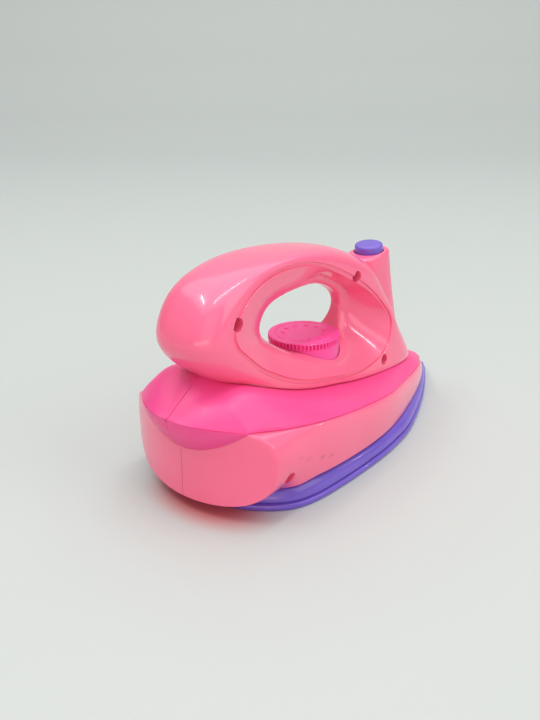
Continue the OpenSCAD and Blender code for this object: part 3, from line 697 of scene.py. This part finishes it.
handle_rows = closed_curve(HANDLE_TABLE, 18)
opening = few_waves(handle_rows[:, 0] + 1j * handle_rows[:, 1], 5)
outside = few_waves(handle_rows[:, 2] + 1j * handle_rows[:, 3], 14)
way = outside - opening
moulded_line = few_waves(opening + way * handle_rows[:, 4], 4)
handle_rows[:, 0] = opening.real
handle_rows[:, 1] = opening.imag
handle_rows[:, 2] = outside.real
handle_rows[:, 3] = outside.imag
handle_rows[:, 4] = ((moulded_line - opening) * way.conj()).real / abs(way) ** 2
handle_rows[:, 5] = few_waves(handle_rows[:, 5], 4).real
handle_rows[:, 6] = few_waves(handle_rows[:, 6], 4).real
handle_rings = np.array([handle_section(row) for row in handle_rows])
half_turn = np.linspace(0, math.pi, 49)


def tower_ring(share, inset):
    """Half a rounded rectangle round the tower, at a share of its height."""
    middle, length, width = [smooth_value(share, [(r[0], r[k]) for r in TOWER_TABLE]) for k in (1, 2, 3)]
    ring = []
    for a in half_turn:
        grow = (abs(math.cos(a)) ** 3 + abs(math.sin(a)) ** 3) ** (-1 / 3)
        x = TOWER_X + TOWER_TOP * middle + (TOWER_TOP * length - inset) * math.cos(a) * grow
        y = (TOWER_HALF * width - inset) * math.sin(a) * grow
        z = TOWER_TOP * share + (x - TOWER_X) * math.tan(TOWER_LEAN) * share ** 4
        ring.append((x, max(y, SEAM), z))
    return ring


def round_button_axis(radius, depth, a):
    """A point round the button's leaning axis, at a depth below the tower's top."""
    side = radius * math.cos(a)
    x = TOWER_X + side * math.cos(TOWER_LEAN) + depth * math.sin(TOWER_LEAN)
    z = TOWER_TOP + side * math.sin(TOWER_LEAN) - depth * math.cos(TOWER_LEAN)
    return x, radius * math.sin(a), z


def on_button_axis(depth):
    """A point on the button's axis, at a depth below the tower's top."""
    return round_button_axis(0, depth, 0)


def hole_ring(radius, depth):
    """Half a circle of the button's hole."""
    points = [round_button_axis(radius, depth, a) for a in half_turn]
    return [(x, max(y, SEAM), z) for x, y, z in points]


tower_rings = [tower_ring(s, 0) for s in np.linspace(0.2, 1 - TOWER_EDGE / TOWER_TOP, 40)]
for a in np.linspace(0, math.pi / 2, 9)[1:]:
    share = 1 - TOWER_EDGE / TOWER_TOP * (1 - math.sin(a))
    tower_rings.append(tower_ring(share, TOWER_EDGE * (1 - math.cos(a)) * 0.9))
button_hole = BUTTON_RADIUS + BUTTON_GAP
stem_hole = STEM_RADIUS + BUTTON_GAP
tower_rings += [hole_ring(button_hole + HOLE_EDGE, 0), hole_ring(button_hole, HOLE_EDGE)]
tower_rings += [hole_ring(button_hole, RECESS), hole_ring(stem_hole, RECESS)]
tower_rings += [hole_ring(stem_hole, STEM_DEPTH), hole_ring(STEM_POINT, STEM_DEPTH)]
tower_rings = np.array(tower_rings)
light_pink = moulded_plastic("light_pink_plastic", **LIGHT_PINK)
for side, name in ((1, "left"), (-1, "right")):
    half = loft("handle_moulding_" + name, handle_rings * (1, side, 1), closed=True)
    tower = loft("tower", tower_rings * (1, side, 1))
    carve(half, [tower], "UNION")
    cuts = [rod((DIAL_X, 0, WELL_FLOOR), (DIAL_X, 0, WELL_MOUTH), DIAL_RADIUS + WELL_GAP, 200)]
    cuts.append(rod(on_button_axis(-3), on_button_axis(RECESS - CUT_SKIN), button_hole - CUT_SKIN, 96))
    cuts.append(rod(on_button_axis(STEM_CUT[0]), on_button_axis(STEM_CUT[1]), stem_hole - CUT_SKIN))
    if name == "right":
        cuts += [rod((x, HOLE_MOUTH, z), (x, HOLE_FLOOR, z), SCREW_HOLE) for x, z in HANDLE_SCREWS]
    carve(half, cuts)
    stands_for(half, "iron", "handle_" + name, light_pink)

# Dial
# A hot pink moulded knob that turns on a shaft through the saddle, with a ribbed rim for the finger.
# Its top has a shallow ring line and plain raised dots that grow round the circle.
DIAL_TOP = 49.6
DIAL_SHARP = 50
KNURLS = 60
KNURL_FOOT = 46.9
KNURL_FOOT_RUN = 0.12
KNURL_TOP = 49.32
KNURL_TOP_RUN = 0.1
KNURL_DEPTH = 1.3
RIM_DEPTH = 0.6
RIB_EDGE = 0.2
DIAL_PROFILE = [(14.6, 40.3), (14.75, 40.4), (14.75, 43.0), (14.75, 46.5), (14.78, 46.7), (14.95, 46.8)]
DIAL_PROFILE += [(15.0, z) for z in (46.9, 47.0, 47.05, 47.4, 48.0, 48.5, 48.9, 49.1, 49.2)]
DIAL_PROFILE += [
    (14.95, 49.33), (14.8, 49.46), (14.5, 49.56), (14.1, 49.6), (12.5, 49.6), (12.25, 49.52), (12.0, 49.25),
    (11.75, 49.52), (11.5, 49.6), (8.0, 49.6), (4.0, 49.6), (0.2, 49.6)]
DOTS = 9
DOT_TURN = 32
DOT_CIRCLE = 8.7
DOT_FIRST = 1.1
DOT_GROWTH = 0.17
DOT_PROFILE = [(1, -0.2), (1, 0.2), (0.9, 0.34), (0.6, 0.4), (0.05, 0.4)]


def turned(name, profile, steps, middle, shape, sharp):
    """A piece turned about an upright axis, from the outline's lowest point to its top."""
    rings = []
    for radius, z in profile:
        ring = []
        for a in np.linspace(0, 2 * math.pi, steps, endpoint=False):
            r = shape(radius, z, a)
            ring.append((middle + r * math.cos(a), r * math.sin(a), z))
        rings.append(ring)
    return loft(name, rings, sharp=sharp)


def ribbed(radius, z, a):
    """Draws in the notches between the ribs of the rim."""
    if radius < DIAL_RADIUS - RIM_DEPTH:
        return radius
    inside = min(max((z - KNURL_FOOT) / KNURL_FOOT_RUN, 0), 1)
    inside *= min(max((KNURL_TOP - z) / KNURL_TOP_RUN, 0), 1)
    notch = min(max((math.cos(KNURLS * a) + RIB_EDGE) / (2 * RIB_EDGE), 0), 1)
    return radius - KNURL_DEPTH * notch * inside


dial = turned("dial_knob", DIAL_PROFILE, KNURLS * 12, DIAL_X, ribbed, DIAL_SHARP)
dots = []
dot_turn = np.linspace(0, 2 * math.pi, 28, endpoint=False)
for k in range(DOTS):
    turn = math.radians(DOT_TURN * (k - 4))
    radius = 0.5 * (DOT_FIRST + DOT_GROWTH * k)
    x = DIAL_X + DOT_CIRCLE * math.cos(turn)
    y = DOT_CIRCLE * math.sin(turn)
    rings = []
    for share, rise in DOT_PROFILE:
        r = radius * share
        level = np.full(len(dot_turn), DIAL_TOP + rise)
        rings.append(np.column_stack([x + r * np.cos(dot_turn), y + r * np.sin(dot_turn), level]))
    dots.append(loft("dot", rings))
carve(dial, dots, "UNION", sharp=DIAL_SHARP)
# The dial's pink is a lighter, more magenta copy of the deck's hot pink: painted light that makes up for the
# shade the handle throws on the dial.
dial_pink_painted_light = moulded_plastic(
    "dial_pink_painted_light_plastic", light=linear(255, 88, 172), dark=linear(252, 80, 164), glow=(1.0, 0.2, 0.35),
    rough=0.36, grain=0.06, coat=0.1)
stands_for(dial, "dial", "dial", dial_pink_painted_light)

# Button
# A purple moulded cap on a stem that stands in the recess of the tower, held between the tower's halves.
# A spring under the cap pushes it up, and it sinks along its leaning axis when it is pressed.
BUTTON_PROFILE = [
    (3.0, -12.0), (3.0, -4.0), (6.1, -4.0), (6.25, -3.8), (6.25, 2.1), (6.2, 2.45), (6.05, 2.8), (5.8, 3.05),
    (5.45, 3.22), (5.0, 3.31), (4.0, 3.37), (2.0, 3.39), (0.2, 3.4)]
full_turn = np.linspace(0, 2 * math.pi, 96, endpoint=False)
button_rings = []
for radius, height in BUTTON_PROFILE:
    button_rings.append([round_button_axis(radius, -height, a) for a in full_turn])
button = loft("button_cap", button_rings)
stands_for(button, "button", "spray_button", purple)

# Screws and washer
# Plated steel screws that hold the sole, the halves and the handle, and a washer and screw under the dial.
# They sit at the bottom of their holes or inside the mouldings, and are the plain solids themselves.
STEEL_NODES = [
    "sole_screws", "body_screw", "deck_screws", "handle_screws", "saddle_screws", "dial_washer", "dial_screw"]
steel = bpy.data.materials.new("plated_steel")
steel.use_nodes = True
steel_nodes = steel.node_tree.nodes
steel_link = steel.node_tree.links.new
steel_skin = steel_nodes["Principled BSDF"]
steel_place = steel_nodes.new("ShaderNodeTexCoord")
steel_noise = steel_nodes.new("ShaderNodeTexNoise")
steel_noise.inputs["Scale"].default_value = 900
steel_range = steel_nodes.new("ShaderNodeMapRange")
steel_range.inputs["To Min"].default_value = 0.25
steel_range.inputs["To Max"].default_value = 0.5
steel_link(steel_place.outputs["Object"], steel_noise.inputs["Vector"])
steel_link(steel_noise.outputs["Fac"], steel_range.inputs["Value"])
steel_link(steel_range.outputs["Result"], steel_skin.inputs["Roughness"])
steel_skin.inputs["Base Color"].default_value = (0.55, 0.55, 0.57, 1)
steel_skin.inputs["Metallic"].default_value = 1
for name in STEEL_NODES:
    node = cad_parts[name]
    node.data.materials.clear()
    node.data.materials.append(steel)

# Return spring
# One coil of thin steel wire round the button's stem, between the floor of the recess and the cap.
# It shortens as the button is pressed; here it is built at rest and fixed to the iron.
SPRING_TURNS = 4
SPRING_RADIUS = 4.5
SPRING_TOP = 4.1
SPRING_GAP = 0.1
WIRE_RADIUS = 0.4
wire_turn = np.linspace(0, 2 * math.pi, 10, endpoint=False)
spring_rings = []
for share in np.linspace(0, 1, SPRING_TURNS * 24 + 1):
    turn = 2 * math.pi * SPRING_TURNS * share
    rise = RECESS - SPRING_GAP - SPRING_TOP - 2 * WIRE_RADIUS
    depth = RECESS - SPRING_GAP - WIRE_RADIUS - share * rise
    ring = []
    for a in wire_turn:
        reach = SPRING_RADIUS + WIRE_RADIUS * math.cos(a)
        ring.append(round_button_axis(reach, depth - WIRE_RADIUS * math.sin(a), turn))
    spring_rings.append(ring)
spring = loft("return_spring", spring_rings)
stands_for(spring, "iron", "button_spring", steel)
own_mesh(spring)

# Table
# A plain pale table top that curves up behind the toy, with a matt face.
# A soft red patch under the heel is painted shadow, tinted with the red light that the pink plastic throws
# down.
VIEW_TURN = -50
TABLE_HALF = 6.0
TABLE_LINE = [(-6.0, 0.0), (0.9, 0.0), (1.15, 0.03), (1.35, 0.12), (1.5, 0.3), (1.55, 0.6), (1.55, 1.8)]
across = np.array([math.cos(math.radians(VIEW_TURN)), math.sin(math.radians(VIEW_TURN))])
ahead = np.array([math.cos(math.radians(VIEW_TURN + 90)), math.sin(math.radians(VIEW_TURN + 90))])
table_points = []
for reach, height in TABLE_LINE:
    for wide in (-TABLE_HALF, TABLE_HALF):
        spot = ahead * reach + across * wide
        table_points.append((spot[0], spot[1], height))
table_faces = [(2 * k, 2 * k + 1, 2 * k + 3, 2 * k + 2) for k in range(len(TABLE_LINE) - 1)]
table_mesh = bpy.data.meshes.new("table")
table_mesh.from_pydata(table_points, [], table_faces)
table_mesh.shade_smooth()
table = bpy.data.objects.new("table", table_mesh)
bpy.context.scene.collection.objects.link(table)
table_pale = bpy.data.materials.new("pale_table")
table_pale.use_nodes = True
table_nodes = table_pale.node_tree.nodes
table_link = table_pale.node_tree.links.new
table_skin = table_nodes["Principled BSDF"]
table_place = table_nodes.new("ShaderNodeTexCoord")
table_shift = table_nodes.new("ShaderNodeMapping")
table_shift.inputs["Location"].default_value = (3.95, 0.12, 0)
table_shift.inputs["Scale"].default_value = (52, 30, 1)
# Painted shadow: a soft spot under the heel turns the table from pale grey to a dark red, darkest in green
# and blue.
painted_shadow_spot = table_nodes.new("ShaderNodeTexGradient")
painted_shadow_spot.gradient_type = "SPHERICAL"
table_colour_and_painted_shadow = table_nodes.new("ShaderNodeValToRGB")
table_colour_and_painted_shadow.color_ramp.interpolation = "EASE"
table_colour_and_painted_shadow.color_ramp.elements[0].color = linear(190, 194, 191)
table_colour_and_painted_shadow.color_ramp.elements[1].position = 0.7
table_colour_and_painted_shadow.color_ramp.elements[1].color = linear(205, 110, 112)
table_link(table_place.outputs["Object"], table_shift.inputs["Vector"])
table_link(table_shift.outputs["Vector"], painted_shadow_spot.inputs["Vector"])
table_link(painted_shadow_spot.outputs["Fac"], table_colour_and_painted_shadow.inputs["Fac"])
table_link(table_colour_and_painted_shadow.outputs["Color"], table_skin.inputs["Base Color"])
table_skin.inputs["Roughness"].default_value = 0.55
table_mesh.materials.append(table_pale)

# Lights and background
# A broad ceiling light and three soft fills, with narrow window lights for the streaks in the gloss.
# The background that the camera sees is a plain pale grey.


def area_light(name, place, target, size, size_y, watts, colour=(1, 1, 1)):
    """A rectangular lamp at a place, turned to a target, in metres and watts."""
    lamp = bpy.data.lights.new(name, "AREA")
    lamp.shape = "RECTANGLE"
    lamp.size = size
    lamp.size_y = size_y
    lamp.energy = watts
    lamp.color = colour
    stand = bpy.data.objects.new(name, lamp)
    bpy.context.scene.collection.objects.link(stand)
    stand.location = place
    aim = np.array(target, float) - np.array(place, float)
    stand.rotation_euler = Vector(aim).to_track_quat("-Z", "Y").to_euler()


area_light("ceiling", (0.1, 0.1, 1.6), (0, 0, 0), 2.8, 2.8, 29)
area_light("rear_fill", (-1.05, -0.9, 0.6), (0, 0, 0.04), 1.2, 1.2, 2.6)
area_light("side_fill", (0.4, -1.4, 0.8), (0, 0, 0.04), 1.2, 1.2, 7)
area_light("table_bounce", (-0.55, -0.25, 0.06), (-0.085, 0, 0.035), 0.5, 0.08, 0.5, (1, 0.5, 0.55))
area_light("window_left", (-0.41, 0.38, 0.98), (-0.07, 0, 0.08), 0.5, 0.025, 1.6)
area_light("window_right", (-0.06, -0.14, 1.1), (-0.07, 0, 0.08), 0.9, 0.025, 2.4)
area_light("window_low", (0.6, -0.5, 0.28), (0.015, -0.01, 0.044), 0.03, 0.05, 0.12)

world = bpy.data.worlds.new("studio")
bpy.context.scene.world = world
world.use_nodes = True
world_nodes = world.node_tree.nodes
world_link = world.node_tree.links.new
room_light = world_nodes["Background"]
room_light.inputs["Color"].default_value = (0.9, 0.95, 0.95, 1)
room_light.inputs["Strength"].default_value = 0.42
pale_grey = world_nodes.new("ShaderNodeBackground")
pale_grey.inputs["Color"].default_value = linear(206, 212, 208)
seen = world_nodes.new("ShaderNodeLightPath")
choice = world_nodes.new("ShaderNodeMixShader")
world_link(seen.outputs["Is Camera Ray"], choice.inputs["Fac"])
world_link(room_light.outputs["Background"], choice.inputs[1])
world_link(pale_grey.outputs["Background"], choice.inputs[2])
world_link(choice.outputs["Shader"], world_nodes["World Output"].inputs["Surface"])

# Camera
# It looks at the heel and the right side from behind, a little above the handle.
# Its place and lens give the photograph's viewpoint.
VIEW_DROP = 22
camera_data = bpy.data.cameras.new("camera")
camera_data.lens = 40
camera_data.sensor_width = 36
camera = bpy.data.objects.new("camera", camera_data)
bpy.context.scene.collection.objects.link(camera)
camera.location = (-0.26215, -0.1909, 0.1638)
camera.rotation_euler = (math.radians(90 - VIEW_DROP), 0, math.radians(VIEW_TURN))
bpy.context.scene.camera = camera
bpy.context.scene.view_settings.view_transform = "Standard"
